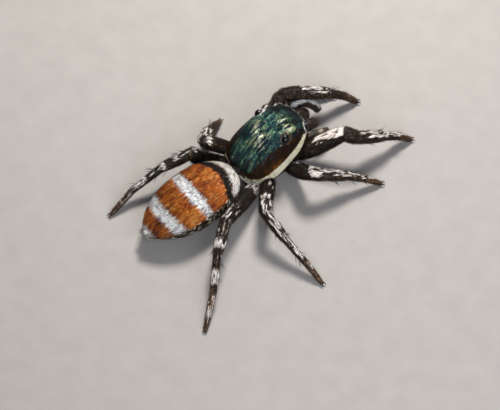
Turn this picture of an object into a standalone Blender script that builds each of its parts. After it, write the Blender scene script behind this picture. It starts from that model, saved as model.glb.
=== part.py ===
"""A jumping spider at life size, standing still, in metres with +Z up and its face towards +Y.

The sizes are millimetres measured from the spot on the floor under the carapace. The last step
puts the origin at the bottom centre of the whole animal and turns millimetres into metres.
"""

import math

import bmesh
import bpy
import numpy as np
from mathutils import Matrix, Vector

# Driving sizes, in millimetres
MILLIMETRE = 0.001
GAP = 0.04
WELD = 0.00002
SIDES = (("right", 1.0), ("left", -1.0))

# The carapace: stations run from 0 at its rear to 1 at its face
CARAPACE_REAR = -1.36
CARAPACE_FRONT = 0.95
CARAPACE_EDGE_HEIGHT = 0.38
CARAPACE_STATIONS = (0.0, 0.2, 0.4, 0.6, 0.8, 1.0)
CARAPACE_HALF_WIDTHS = (0.78, 0.83, 0.84, 0.81, 0.76, 0.70)
CARAPACE_TOPS = (1.03, 1.37, 1.63, 1.70, 1.64, 1.46)
CARAPACE_BOTTOMS = (0.32, 0.28, 0.28, 0.28, 0.30, 0.34)
CARAPACE_END_ROUNDNESS = (4.6, 3.4)
CARAPACE_SECTION_ROUNDNESS = 2.35
HEAD_YAW = math.radians(3.0)

# The abdomen: stations run from 0 at the spinnerets to 1 at the waist
ABDOMEN_REAR = -4.62
ABDOMEN_FRONT = -1.46
ABDOMEN_HEIGHT = 0.60
ABDOMEN_YAW = math.radians(2.0)
ABDOMEN_STATIONS = (0.0, 0.2, 0.4, 0.6, 0.8, 1.0)
ABDOMEN_HALF_WIDTHS = (0.64, 0.83, 0.88, 0.90, 0.92, 0.92)
ABDOMEN_RISES = (0.34, 0.50, 0.60, 0.64, 0.62, 0.54)
ABDOMEN_DROPS = (0.32, 0.40, 0.44, 0.46, 0.42, 0.34)
ABDOMEN_END_ROUNDNESS = (2.2, 2.2)
ABDOMEN_SECTION_ROUNDNESS = 2.1

PEDICEL_RADIUS = 0.17
PEDICEL_HEIGHT = 0.56

STERNUM_CENTRE = (0.0, -0.28, 0.20)
STERNUM_HALF_SIZES = (0.36, 0.66, 0.09)

# Each pair of eyes: across, forward, up and radius
EYES = {
    "eye_anterior_median": (0.210, 0.81, 0.94, 0.185),
    "eye_anterior_lateral": (0.472, 0.695, 1.085, 0.110),
    "eye_posterior_median": (0.545, 0.34, 1.30, 0.048),
    "eye_posterior_lateral": (0.540, -0.08, 1.42, 0.125),
}

CHELICERA_PATH = (
    (0.20, 0.66, 0.54), (0.205, 0.98, 0.55), (0.212, 1.24, 0.47), (0.212, 1.40, 0.32),
)
CHELICERA_RADII = (0.185, 0.185, 0.17, 0.11)
FANG_PATH = ((0.21, 1.46, 0.270), (0.18, 1.43, 0.160), (0.12, 1.29, 0.100))
FANG_RADII = (0.050, 0.040, 0.018)

# The left palp reaches round the front of the jaws, and the right one hangs beside them
PALP_PATHS = {
    "left": (
        (-0.30, 0.78, 0.26), (-0.46, 1.00, 0.32), (-0.55, 1.22, 0.45), (-0.47, 1.48, 0.51),
        (-0.25, 1.64, 0.46), (-0.04, 1.69, 0.37),
    ),
    "right": (
        (0.30, 0.78, 0.26), (0.47, 0.91, 0.34), (0.58, 1.04, 0.48), (0.62, 1.20, 0.46),
        (0.59, 1.36, 0.32), (0.50, 1.47, 0.17),
    ),
}
PALP_RADII = (0.09, 0.10, 0.12, 0.125, 0.115, 0.09)

# Each spinneret: across, forward and up at its root and at its tip, and its radius at both
SPINNERETS = {
    "spinneret_front": ((0.11, -4.24, 0.40), (0.13, -4.56, 0.26), 0.090, 0.060),
    "spinneret_rear": ((0.10, -4.36, 0.54), (0.12, -4.64, 0.45), 0.075, 0.045),
}

# Legs: femur thickness of each pair, and the start, middle and end of each piece as shares of it,
# from the coxa through femur, patella, tibia and metatarsus to the tarsus
LEG_THICKNESS = {1: 0.54, 2: 0.48, 3: 0.44, 4: 0.46}
LEG_PIECE_SHARES = (
    (0.74, 0.76, 0.74),
    (0.80, 1.00, 0.90),
    (0.88, 0.98, 0.88),
    (0.84, 0.92, 0.78),
    (0.72, 0.70, 0.62),
    (0.56, 0.52, 0.42),
)
SEGMENT_SPOTS = (0.12, 0.50, 0.88)
JOINT_REACH = 0.45
JOINT_TAPER = 0.55
COXA_ROOTS = {
    1: (0.30, 0.37, 0.27), 2: (0.30, -0.09, 0.27), 3: (0.30, -0.68, 0.27), 4: (0.28, -1.14, 0.27),
}
TROCHANTERS = {
    1: (0.64, 0.48, 0.36), 2: (0.76, -0.06, 0.30), 3: (0.72, -0.82, 0.31), 4: (0.62, -1.22, 0.28),
}
DRAWN_BACK = {"leg_3_left": (0.72, -0.97, 0.31), "leg_4_left": (0.50, -1.38, 0.28)}
FOOT_HEIGHT = 0.062
FOOT_PAD_RADIUS = 0.085
CLAW_LENGTH = 0.15
CLAW_SPREAD = 0.045
CLAW_RADII = (0.036, 0.030, 0.014)

# Where each leg bends: knee, end of patella, end of tibia, end of metatarsus, and foot
LEG_POSE = {
    "leg_1_right": (
        (1.12, 1.49, 1.00), (1.43, 1.72, 0.92), (1.67, 2.44, 0.60),
        (1.80, 2.91, 0.31), (1.97, 3.20),
    ),
    "leg_2_right": (
        (1.50, -0.07, 0.92), (1.73, 0.24, 0.82), (2.03, 0.85, 0.55),
        (2.33, 1.32, 0.29), (2.58, 1.64),
    ),
    "leg_3_right": (
        (1.42, -1.48, 0.78), (1.74, -1.76, 0.88), (2.58, -1.76, 0.60),
        (3.42, -1.68, 0.31), (4.06, -1.64),
    ),
    "leg_4_right": (
        (1.08, -2.30, 0.66), (1.26, -2.78, 0.84), (1.90, -3.56, 0.74),
        (2.62, -4.27, 0.40), (3.26, -5.05),
    ),
    "leg_1_left": (
        (-0.98, 0.96, 0.86), (-0.70, 1.40, 0.94), (-0.36, 2.12, 0.66),
        (-0.14, 2.56, 0.34), (0.06, 2.82),
    ),
    "leg_2_left": (
        (-1.02, 0.26, 0.27), (-1.17, 0.64, 0.22), (-1.02, 1.58, 0.29),
        (-0.72, 2.08, 0.18), (-0.48, 2.40),
    ),
    "leg_3_left": (
        (-1.02, -1.62, 0.94), (-1.26, -1.55, 0.71), (-1.56, -1.11, 0.38),
        (-1.68, -0.84, 0.22), (-1.78, -0.58),
    ),
    "leg_4_left": (
        (-1.10, -1.90, 0.27), (-1.08, -2.08, 0.78), (-1.26, -3.02, 0.70),
        (-1.35, -3.94, 0.38), (-1.26, -4.78),
    ),
}

COLOURS = {
    "carapace": (0.035, 0.075, 0.060, 1.0),
    "abdomen": (0.340, 0.090, 0.010, 1.0),
    "underside": (0.030, 0.020, 0.014, 1.0),
    "leg": (0.050, 0.038, 0.030, 1.0),
    "mouthpart": (0.090, 0.045, 0.022, 1.0),
    "eye": (0.004, 0.004, 0.005, 1.0),
}


def clear_scene():
    for obj in list(bpy.data.objects):
        bpy.data.objects.remove(obj, do_unlink=True)


def new_collection(name):
    collection = bpy.data.collections.new(name)
    bpy.context.scene.collection.children.link(collection)
    return collection


clear_scene()
PARTS = new_collection("jumping_spider")
CUTTERS = new_collection("cutters")


def new_object(name, form, collection):
    """Puts a bmesh into a new named object and frees it."""
    bmesh.ops.recalc_face_normals(form, faces=form.faces)
    mesh = bpy.data.meshes.new(name)
    form.to_mesh(mesh)
    form.free()
    obj = bpy.data.objects.new(name, mesh)
    collection.objects.link(obj)
    if collection is CUTTERS:
        obj.hide_render = True
        obj.display_type = "WIRE"
    return obj


def applied(obj):
    """The object with its modifiers applied, keeping only its largest closed surface."""
    graph = bpy.context.evaluated_depsgraph_get()
    mesh = bpy.data.meshes.new_from_object(obj.evaluated_get(graph))
    obj.modifiers.clear()
    obj.data = mesh
    form = bmesh.new()
    form.from_mesh(mesh)
    bmesh.ops.remove_doubles(form, verts=form.verts, dist=WELD)
    islands = islands_of(form)
    for island in islands[1:]:
        bmesh.ops.delete(form, geom=island, context="VERTS")
    form.to_mesh(mesh)
    form.free()
    return obj


def islands_of(form):
    """The connected groups of points in a bmesh, from the most points to the fewest."""
    waiting = set(form.verts)
    islands = []
    while waiting:
        start = waiting.pop()
        island = [start]
        for point in island:
            for edge in point.link_edges:
                other = edge.other_vert(point)
                if other in waiting:
                    waiting.remove(other)
                    island.append(other)
        islands.append(island)
    return sorted(islands, key=len, reverse=True)


def cut(obj, cutters):
    """Takes each cutter away from the object."""
    for cutter in cutters:
        modifier = obj.modifiers.new("cut", "BOOLEAN")
        modifier.operation = "DIFFERENCE"
        modifier.object = cutter
    return applied(obj)


def united(name, pieces):
    """One closed body from a collection of overlapping closed pieces, which are then removed."""
    base, others = pieces[0], pieces[1:]
    base.name = name
    group = new_collection(name + "_pieces")
    for piece in others:
        PARTS.objects.unlink(piece)
        group.objects.link(piece)
    modifier = base.modifiers.new("join", "BOOLEAN")
    modifier.operation = "UNION"
    modifier.operand_type = "COLLECTION"
    modifier.collection = group
    modifier.use_self = True
    applied(base)
    for piece in others:
        bpy.data.objects.remove(piece, do_unlink=True)
    bpy.data.collections.remove(group)
    return base


def finished(obj, kind, roughness):
    """Gives a part its own material and smooth shading."""
    material = bpy.data.materials.new(obj.name)
    material.use_nodes = True
    shader = material.node_tree.nodes["Principled BSDF"]
    shader.inputs["Base Color"].default_value = COLOURS[kind]
    shader.inputs["Roughness"].default_value = roughness
    shader.inputs["Metallic"].default_value = 0.0
    obj.data.materials.clear()
    obj.data.materials.append(material)
    obj.data.shade_smooth()
    return obj


def signed_power(value, power):
    return math.copysign(abs(value) ** power, value)


def swollen_ball(name, section, rear, front, end_roundnesses, roundness, grow, collection,
                 rings=18, sides=24):
    """A UV sphere drawn out along Y into a body.

    A ring at share s of the length keeps the half width, top and bottom that section(s) gives,
    all drawn in towards the ends as (1 - |2s - 1| ** n) ** (1 / n), with an n for the rear half
    and one for the front half. Around a ring the outline is a superellipse of exponent roundness. Every surface lies grow millimetres further out.
    """
    form = bmesh.new()
    upright_to_forward = Matrix.Rotation(-math.pi / 2, 4, "X")
    bmesh.ops.create_uvsphere(form, u_segments=sides, v_segments=rings, radius=1.0,
                              matrix=upright_to_forward)
    for point in form.verts:
        along = max(-1.0, min(1.0, point.co.y))
        end_roundness = end_roundnesses[0 if along < 0 else 1]
        draw_in = (1.0 - abs(along) ** end_roundness) ** (1.0 / end_roundness)
        half_width, top, middle, bottom = section(0.5 + 0.5 * along)
        around = math.atan2(point.co.z, point.co.x)
        across = signed_power(math.cos(around), 2.0 / roundness)
        upward = signed_power(math.sin(around), 2.0 / roundness)
        height = (top - middle if upward > 0 else middle - bottom) * draw_in + grow
        if draw_in < 1e-4:
            across = upward = 0.0
        point.co.x = across * (half_width * draw_in + grow)
        point.co.y = (rear + front) / 2 + along * ((front - rear) / 2 + grow)
        point.co.z = middle + upward * height
    return new_object(name, form, collection)


def carapace_section(share):
    half_width = np.interp(share, CARAPACE_STATIONS, CARAPACE_HALF_WIDTHS)
    top = np.interp(share, CARAPACE_STATIONS, CARAPACE_TOPS)
    bottom = np.interp(share, CARAPACE_STATIONS, CARAPACE_BOTTOMS)
    return half_width, top, CARAPACE_EDGE_HEIGHT, bottom


def turned_head():
    """The small turn of the carapace, and of all that the head bears, about its rear end."""
    neck = Matrix.Translation((0.0, CARAPACE_REAR, 0.0))
    return neck @ Matrix.Rotation(HEAD_YAW, 4, "Z") @ neck.inverted()


def carapace_form(name, grow, collection):
    obj = swollen_ball(name, carapace_section, CARAPACE_REAR, CARAPACE_FRONT,
                       CARAPACE_END_ROUNDNESS, CARAPACE_SECTION_ROUNDNESS, grow, collection)
    obj.data.transform(turned_head())
    return obj


def abdomen_section(share):
    half_width = np.interp(share, ABDOMEN_STATIONS, ABDOMEN_HALF_WIDTHS)
    rise = np.interp(share, ABDOMEN_STATIONS, ABDOMEN_RISES)
    drop = np.interp(share, ABDOMEN_STATIONS, ABDOMEN_DROPS)
    return half_width, ABDOMEN_HEIGHT + rise, ABDOMEN_HEIGHT, ABDOMEN_HEIGHT - drop


def abdomen_form(name, grow, collection):
    """The abdomen's oval, turned a little about the waist."""
    obj = swollen_ball(name, abdomen_section, ABDOMEN_REAR, ABDOMEN_FRONT, ABDOMEN_END_ROUNDNESS,
                       ABDOMEN_SECTION_ROUNDNESS, grow, collection)
    waist = Matrix.Translation((0.0, ABDOMEN_FRONT, 0.0))
    obj.data.transform(waist @ Matrix.Rotation(ABDOMEN_YAW, 4, "Z") @ waist.inverted())
    return obj


def sternum_form(name, grow, collection):
    """The shield between the coxae, a flattened sphere."""
    form = bmesh.new()
    bmesh.ops.create_uvsphere(form, u_segments=20, v_segments=10, radius=1.0)
    sizes = Vector(STERNUM_HALF_SIZES) + Vector((grow, grow, grow))
    bmesh.ops.transform(form, verts=form.verts,
                        matrix=Matrix.Translation(STERNUM_CENTRE) @ Matrix.Diagonal((*sizes, 1.0)))
    return new_object(name, form, collection)


def ball(name, centre, radius, collection, sides=12, rings=8):
    form = bmesh.new()
    bmesh.ops.create_uvsphere(form, u_segments=sides, v_segments=rings, radius=radius,
                              matrix=Matrix.Translation(centre))
    return new_object(name, form, collection)


def tube(name, path, radii, collection, bevel_resolution=3):
    """A bevelled curve along the path, as thick at each point as its radius, made a closed mesh."""
    curve = bpy.data.curves.new(name + "_curve", "CURVE")
    curve.dimensions = "3D"
    curve.bevel_depth = 1.0
    curve.bevel_resolution = bevel_resolution
    curve.use_fill_caps = True
    spline = curve.splines.new("POLY")
    spline.points.add(len(path) - 1)
    for point, place, radius in zip(spline.points, path, radii):
        point.co = (*place, 1.0)
        point.radius = radius
    guide = bpy.data.objects.new(name + "_curve", curve)
    bpy.context.scene.collection.objects.link(guide)
    bpy.context.view_layer.update()
    graph = bpy.context.evaluated_depsgraph_get()
    mesh = bpy.data.meshes.new_from_object(guide.evaluated_get(graph))
    form = bmesh.new()
    form.from_mesh(mesh)
    bpy.data.objects.remove(guide, do_unlink=True)
    bmesh.ops.remove_doubles(form, verts=form.verts, dist=WELD)
    return new_object(name, form, collection)


def mirrored(place, side):
    return (place[0] * side, *place[1:])


def leg_joints(name, pair, side):
    """The places where a leg bends, from its root under the carapace to its foot."""
    trochanter = DRAWN_BACK.get(name, TROCHANTERS[pair])
    joints = [mirrored(COXA_ROOTS[pair], side), mirrored(trochanter, side), *LEG_POSE[name][:-1]]
    joints.append((*LEG_POSE[name][-1], FOOT_HEIGHT))
    return [Vector(joint) for joint in joints]


def leg_piece(name, start, end, thickness, shares):
    """One straight piece of a leg, rounded off a little past the joints at its two ends."""
    radii = [thickness / 2 * share for share in shares]
    along = (end - start).normalized()
    path = [start - along * radii[0] * JOINT_REACH]
    path += [start.lerp(end, spot) for spot in SEGMENT_SPOTS]
    path.append(end + along * radii[-1] * JOINT_REACH)
    radii = [radii[0] * JOINT_TAPER, *radii, radii[-1] * JOINT_TAPER]
    return tube(name, path, radii, PARTS, bevel_resolution=2)


def claw(name, foot, forward, side):
    """One hooked claw that leaves the foot forwards and bends down."""
    across = forward.cross(Vector((0, 0, 1))) * side * CLAW_SPREAD
    path = (
        foot + across * 0.5 - forward * 0.06,
        foot + across + forward * CLAW_LENGTH * 0.55 + Vector((0, 0, 0.02)),
        foot + across * 1.2 + forward * CLAW_LENGTH - Vector((0, 0, 0.035)),
    )
    return tube(name, path, CLAW_RADII, PARTS, bevel_resolution=1)


def leg(name, pair, side, cutters):
    joints = leg_joints(name, pair, side)
    pieces = []
    for number, shares in enumerate(LEG_PIECE_SHARES):
        start, end = joints[number], joints[number + 1]
        pieces.append(leg_piece(f"{name}_{number}", start, end, LEG_THICKNESS[pair], shares))
    forward = joints[-1] - joints[-2]
    forward.z = 0.0
    forward.normalize()
    pieces.append(ball(name + "_pad", joints[-1], FOOT_PAD_RADIUS, PARTS))
    for number, way in enumerate((1.0, -1.0)):
        pieces.append(claw(f"{name}_claw_{number}", joints[-1], forward, way))
    obj = united(name, pieces)
    return finished(cut(obj, cutters), "leg", 0.55)


def build_legs(cutters):
    for pair in sorted(LEG_THICKNESS):
        for side_name, side in SIDES:
            leg(f"leg_{pair}_{side_name}", pair, side, cutters)


def build_eyes():
    """Makes the eight eyes and the cutters of their sockets."""
    sockets = []
    for name, (across, forward, up, radius) in EYES.items():
        for side_name, side in SIDES:
            centre = turned_head() @ Vector((across * side, forward, up))
            finished(ball(f"{name}_{side_name}", centre, radius, PARTS), "eye", 0.08)
            sockets.append(ball(f"{name}_{side_name}_socket", centre, radius + GAP, CUTTERS))
    return sockets


def build_mouthparts(cutters):
    """Makes the chelicerae, their fangs and the palps on both sides of the face."""
    for side_name, side in SIDES:
        for part, path, radii in (
            ("chelicera", [mirrored(place, side) for place in CHELICERA_PATH], CHELICERA_RADII),
            ("fang", [mirrored(place, side) for place in FANG_PATH], FANG_RADII),
            ("palp", PALP_PATHS[side_name], PALP_RADII),
        ):
            places = [turned_head() @ Vector(place) for place in path]
            obj = tube(f"{part}_{side_name}", places, radii, PARTS)
            finished(cut(obj, cutters), "mouthpart", 0.45)


def build_spinnerets(cutters):
    for part, (root, tip, root_radius, tip_radius) in SPINNERETS.items():
        for side_name, side in SIDES:
            path = [mirrored(root, side), mirrored(tip, side)]
            obj = tube(f"{part}_{side_name}", path, (root_radius, tip_radius), PARTS)
            finished(cut(obj, cutters), "underside", 0.6)


def floor_cutter():
    """A thick slab whose top is the floor."""
    form = bmesh.new()
    size = Matrix.Translation((0, 0, -1.0)) @ Matrix.Diagonal((20.0, 20.0, 2.0, 1.0))
    bmesh.ops.create_cube(form, size=1.0, matrix=size)
    return new_object("floor_cutter", form, CUTTERS)


def build_body():
    """Makes the trunk first, then everything that grows from it."""
    grown_carapace = carapace_form("carapace_cutter", GAP, CUTTERS)
    grown_abdomen = abdomen_form("abdomen_cutter", GAP, CUTTERS)
    grown_sternum = sternum_form("sternum_cutter", GAP, CUTTERS)
    floor = floor_cutter()
    sockets = build_eyes()
    finished(cut(carapace_form("carapace", 0.0, PARTS), sockets), "carapace", 0.35)
    finished(abdomen_form("abdomen", 0.0, PARTS), "abdomen", 0.7)
    finished(cut(sternum_form("sternum", 0.0, PARTS), [grown_carapace]), "underside", 0.5)
    waist = [(0.0, CARAPACE_REAR + 0.3, PEDICEL_HEIGHT), (0.0, ABDOMEN_FRONT - 0.3, PEDICEL_HEIGHT)]
    pedicel = tube("pedicel", waist, (PEDICEL_RADIUS, PEDICEL_RADIUS), PARTS)
    finished(cut(pedicel, [grown_carapace, grown_abdomen]), "underside", 0.5)
    build_mouthparts([grown_carapace, *sockets])
    build_legs([grown_carapace, grown_sternum, grown_abdomen, floor])
    build_spinnerets([grown_abdomen])


def to_metres():
    """Moves the bottom centre of the animal to the origin and turns millimetres into metres."""
    corners = [Vector(corner) for obj in PARTS.objects for corner in obj.bound_box]
    lowest = Vector([min(corner[axis] for corner in corners) for axis in range(3)])
    highest = Vector([max(corner[axis] for corner in corners) for axis in range(3)])
    base = (lowest + highest) / 2
    base.z = lowest.z
    place = Matrix.Scale(MILLIMETRE, 4) @ Matrix.Translation(-base)
    for obj in [*PARTS.objects, *CUTTERS.objects]:
        obj.data.transform(place)


build_body()
to_metres()
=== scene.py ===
# %% [markdown]
# # A banded jumping spider, dressed for its portrait
# The solids of the animal come in as a fixed frame. This notebook gives each of them its skin,
# its coat of scales and its glossy eyes, then sets up a floor, soft lamps and a long lens.
# A spider is covered in plates, and nearly all its colour sits in scales and flat hairs that
# lie over them. So every body part is made twice: a dark plate, and a coat that grows from it.

# %% Load the frame
import math
from functools import partial
from types import SimpleNamespace

import bpy
import numpy as np
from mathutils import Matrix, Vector


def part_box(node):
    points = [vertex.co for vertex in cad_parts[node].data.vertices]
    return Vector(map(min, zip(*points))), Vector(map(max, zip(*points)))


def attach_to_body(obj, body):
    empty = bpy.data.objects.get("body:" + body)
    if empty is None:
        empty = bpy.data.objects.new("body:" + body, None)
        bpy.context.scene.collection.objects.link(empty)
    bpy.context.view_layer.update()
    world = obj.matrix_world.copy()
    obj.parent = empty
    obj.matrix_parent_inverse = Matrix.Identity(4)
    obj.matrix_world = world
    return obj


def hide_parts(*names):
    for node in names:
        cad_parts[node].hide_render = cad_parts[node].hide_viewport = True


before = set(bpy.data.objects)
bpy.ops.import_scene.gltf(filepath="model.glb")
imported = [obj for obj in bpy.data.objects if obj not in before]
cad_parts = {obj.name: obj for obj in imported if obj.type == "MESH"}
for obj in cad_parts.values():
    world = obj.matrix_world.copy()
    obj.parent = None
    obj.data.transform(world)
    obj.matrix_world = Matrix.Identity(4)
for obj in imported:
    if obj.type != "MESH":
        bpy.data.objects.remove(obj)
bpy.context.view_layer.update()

# %% [markdown]
# ## Units and place
# All shapes below are worked out in millimetres from the floor under the head plate, with Y
# towards the face. The frame measures in metres from the middle of the animal. The shield between
# the legs lies on the middle line, so its box tells how far apart the two origins are.

# %% From body millimetres to frame metres
MM = 0.001
STERNUM_CENTRE, STERNUM_HALF_SIZES = (0.0, -0.28, 0.20), (0.36, 0.66, 0.09)
low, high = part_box("sternum")
BODY_ORIGIN = np.array([(low.x + high.x) / 2, (low.y + high.y) / 2 - STERNUM_CENTRE[1] * MM, 0.0])
SIDES = (("right", 1.0), ("left", -1.0))


def placed(points):
    """Body millimetres turned into frame metres."""
    return np.asarray(points, float) * MM + BODY_ORIGIN


def unit(vectors):
    """Vectors scaled to length one, along the last axis."""
    vectors = np.asarray(vectors, float)
    return vectors / np.maximum(np.linalg.norm(vectors, axis=-1, keepdims=True), 1e-12)


print("body origin in mm:", np.round(BODY_ORIGIN * 1000, 3))

# %% [markdown]
# ## Colours and nodes
# Colours are written in hex, as they look on a screen, and one function turns them into the
# linear values that shaders want. One small helper adds a node with its settings and links.

# %% Colour and node helpers


def linear(hex_colour):
    """sRGB hex to linear RGBA: below 0.04045 a straight line, above it a power of 2.4."""
    parts = [int(hex_colour[i : i + 2], 16) / 255 for i in (1, 3, 5)]
    return *(c / 12.92 if c <= 0.04045 else ((c + 0.055) / 1.055) ** 2.4 for c in parts), 1.0


def add(tree, kind, inputs=None, **settings):
    """One new node. An input that is a socket is linked, and any other is set."""
    node = tree.nodes.new(kind)
    for key, value in settings.items():
        setattr(node, key, value)
    for key, value in (inputs or {}).items():
        if isinstance(value, bpy.types.NodeSocket):
            tree.links.new(value, node.inputs[key])
        else:
            node.inputs[key].default_value = value
    return node


def ramp(tree, factor, stops):
    """A colour that runs through stops of (place, hex) as the factor goes from 0 to 1."""
    node = add(tree, "ShaderNodeValToRGB", {"Fac": factor})
    elements = node.color_ramp.elements
    while len(elements) < len(stops):
        elements.new(0.5)
    for element, (place, colour) in zip(elements, stops):
        element.position = place
        element.color = linear(colour)
    return node.outputs["Color"]


def mixed(tree, factor, colour, hex_colour):
    """A colour turned into the hex colour by the factor."""
    inputs = {0: factor, 6: colour, 7: linear(hex_colour)}
    return add(tree, "ShaderNodeMix", inputs, data_type="RGBA").outputs[2]


def attribute(tree, name):
    """The socket of a number that each vertex carries."""
    return add(tree, "ShaderNodeAttribute", attribute_name=name).outputs["Fac"]


def noise(tree, size_mm, detail=3.0, stretch=(1.0, 1.0, 1.0)):
    """Noise whose blobs are size_mm across, in the object's own coordinates."""
    place = add(tree, "ShaderNodeTexCoord").outputs["Object"]
    scale = [share / (size_mm * MM) for share in stretch]
    mapping = add(tree, "ShaderNodeMapping", {"Vector": place, "Scale": scale})
    inputs = {"Vector": mapping.outputs[0], "Scale": 1.0, "Detail": detail}
    return add(tree, "ShaderNodeTexNoise", inputs).outputs["Fac"]


def new_material(name, **shader_settings):
    """A material with its Principled shader; settings are constants on the shader's sockets."""
    material = bpy.data.materials.new(name)
    material.use_nodes = True
    shader = material.node_tree.nodes["Principled BSDF"]
    for key, value in shader_settings.items():
        socket = shader.inputs[key.replace("_", " ")]
        socket.default_value = linear(value) if isinstance(value, str) else value
    return material, material.node_tree, shader


def bump(tree, shader, height, depth_mm, strength=1.0):
    """Small relief from a height socket, depth_mm deep at most."""
    node = add(tree, "ShaderNodeBump", {"Height": height, "Distance": depth_mm * MM,
                                        "Strength": strength})
    tree.links.new(node.outputs[0], shader.inputs["Normal"])


# %% [markdown]
# ## Surfaces from two parameters
# Each shape is a function that takes a share along its length and an angle around it, both as
# whole arrays, and gives back points. The same function makes the plate, tells which way is
# outwards, and says where the scales root, so a coat can never drift off its plate.

# %% Grid helpers


def mesh_object(name, points, faces, smooth=True):
    """A mesh object from an array of points and an array of faces with equal corners."""
    points = placed(points).astype(np.float32)
    faces = np.asarray(faces, np.int32)
    mesh = bpy.data.meshes.new(name)
    mesh.vertices.add(len(points))
    mesh.vertices.foreach_set("co", points.ravel())
    mesh.loops.add(faces.size)
    mesh.loops.foreach_set("vertex_index", faces.ravel())
    mesh.polygons.add(len(faces))
    starts = np.arange(0, faces.size, faces.shape[1], dtype=np.int32)
    mesh.polygons.foreach_set("loop_start", starts)
    mesh.update(calc_edges=True)
    mesh.validate()
    if smooth:
        mesh.shade_smooth()
    piece = bpy.data.objects.new(name, mesh)
    bpy.context.scene.collection.objects.link(piece)
    return piece


def triangles(*corners):
    """Rows of three vertex numbers from three arrays of them."""
    return np.stack(corners, -1).reshape(-1, 3)


def closed_grid(points):
    """Vertices and triangles of rings closed around, with the first and last ring as poles.

    points has the shape rings x sides x 3. The two end rings shrink to one point each.
    """
    rings, sides = points.shape[:2]
    body = points[1:-1].reshape(-1, 3)
    ring, side = np.meshgrid(np.arange(rings - 3), np.arange(sides), indexing="ij")
    a, b = ring * sides + side, ring * sides + (side + 1) % sides
    here = np.arange(sides)
    there, far_row, pole = (here + 1) % sides, (rings - 3) * sides, np.full(sides, len(body))
    return np.vstack([body, points[0].mean(0), points[-1].mean(0)]), np.vstack([
        triangles(a, b, b + sides), triangles(a, b + sides, a + sides),
        triangles(pole, there, here), triangles(pole + 1, far_row + here, far_row + there)])


def around(angle, side, up, radius=1.0):
    """Steps away from an axis at each angle, from side through up."""
    return (radius * np.cos(angle))[..., None] * side + (radius * np.sin(angle))[..., None] * up


def joined(parts):
    """Several (points, faces) pairs as one, with the faces counted on."""
    points, faces, start = [], [], 0
    for part_points, part_faces in parts:
        points.append(part_points)
        faces.append(part_faces + start)
        start += len(part_points)
    return np.vstack(points), np.vstack(faces)


def volume(points, faces):
    """Signed volume of a closed triangle mesh: a sixth of the summed triple products."""
    a, b, c = (points[faces[:, i]] for i in range(3))
    return np.einsum("ij,ij->i", a, np.cross(b, c)).sum() / 6


def outward(points, faces):
    """The same mesh with its faces turned to point outwards."""
    return points, faces if volume(points, faces) > 0 else faces[:, ::-1]


def ring_places(rings, sides):
    """Share and angle of rings x sides places, with rings set closer together near both ends."""
    share = 0.5 - 0.5 * np.cos(np.linspace(0, np.pi, rings))
    angle = np.linspace(0, 2 * np.pi, sides, endpoint=False)
    return np.meshgrid(share, angle, indexing="ij")


def form_mesh(shape, rings, sides):
    """The closed mesh of a shape function."""
    return outward(*closed_grid(shape(*ring_places(rings, sides))))


def form_values(value, rings, sides):
    """value(share, angle) at each vertex of a form_mesh: ring by ring, then the two poles."""
    grid = value(*ring_places(rings, sides))
    return np.concatenate([grid[1:-1].ravel(), [grid[0].mean(), grid[-1].mean()]])


def frame_on(shape, share, angle, step=2e-3):
    """Point, outward normal and area element of a shape function, by small differences."""
    share = np.clip(share, 2 * step, 1 - 2 * step)
    along = shape(share + step, angle) - shape(share - step, angle)
    across = shape(share, angle + step) - shape(share, angle - step)
    cross = np.cross(across, along)
    area = np.linalg.norm(cross, axis=-1) / (4 * step * step)
    point = shape(share, angle)
    centre = (shape(share, angle + np.pi) + point) / 2
    normal = unit(cross)
    flip = np.sign(np.einsum("...i,...i->...", normal, point - centre))
    return point, normal * np.where(flip == 0, 1, flip)[..., None], area


def attach(name, mesh, slot, nodes, material, **point_values):
    """A piece from points and faces that rides on the body and stands for its nodes."""
    piece = mesh_object(name, *mesh)
    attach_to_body(piece, "root")
    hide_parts(*nodes)
    piece.data.materials.append(material)
    for key, values in point_values.items():
        layer = piece.data.attributes.new(key, "FLOAT", "POINT")
        layer.data.foreach_set("value", np.asarray(values, np.float32))
    print(f"{name}: {len(piece.data.polygons)} faces")
    return piece


# %% [markdown]
# ## A coat of scales
# A real scale or hair is a flat, pointed blade that grows from a pit and lies along the body.
# Here each is a closed spindle of five points and six triangles: a root sunk in the plate, two
# edges and a ridge at its widest, and a tip that may stand off a little. Roots are spread by a
# low-discrepancy sequence, which looks even but not laid out, and kept in proportion to area.
# Each blade has a tiny patch of texture space at its root's place on the unrolled plate.

# %% Scales and hairs
# Side of a blade's patch in texture space, place of its widest part as a share of its length,
# and depth of its root in the plate
PATCH, WIDEST, SINK = 0.003, 0.42, 0.015
GOLDEN_STEPS = (0.7548776662, 0.5698402910)


def smooth(values, low, high):
    """0 below low, 1 above high, and a smooth S between: 3t squared less 2t cubed."""
    t = np.clip((values - low) / (high - low), 0, 1)
    return t * t * (3 - 2 * t)


def within(values, low, high, soft):
    """1 between low and high, falling to 0 over a border that reaches soft to each side."""
    return smooth(values, low - soft, low + soft) * (1 - smooth(values, high - soft, high + soft))


def patchy(u, v, seed):
    """Soft random patches from 0 to 1: a random value at each whole (u, v), blended between."""
    table = np.random.default_rng(seed).random((64, 64))
    i, j = np.floor(u).astype(int), np.floor(v).astype(int)
    s, t = smooth(u - i, 0, 1), smooth(v - j, 0, 1)
    near = table[i % 64, j % 64] * (1 - s) + table[(i + 1) % 64, j % 64] * s
    far = table[i % 64, (j + 1) % 64] * (1 - s) + table[(i + 1) % 64, (j + 1) % 64] * s
    return near * (1 - t) + far * t


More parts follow.
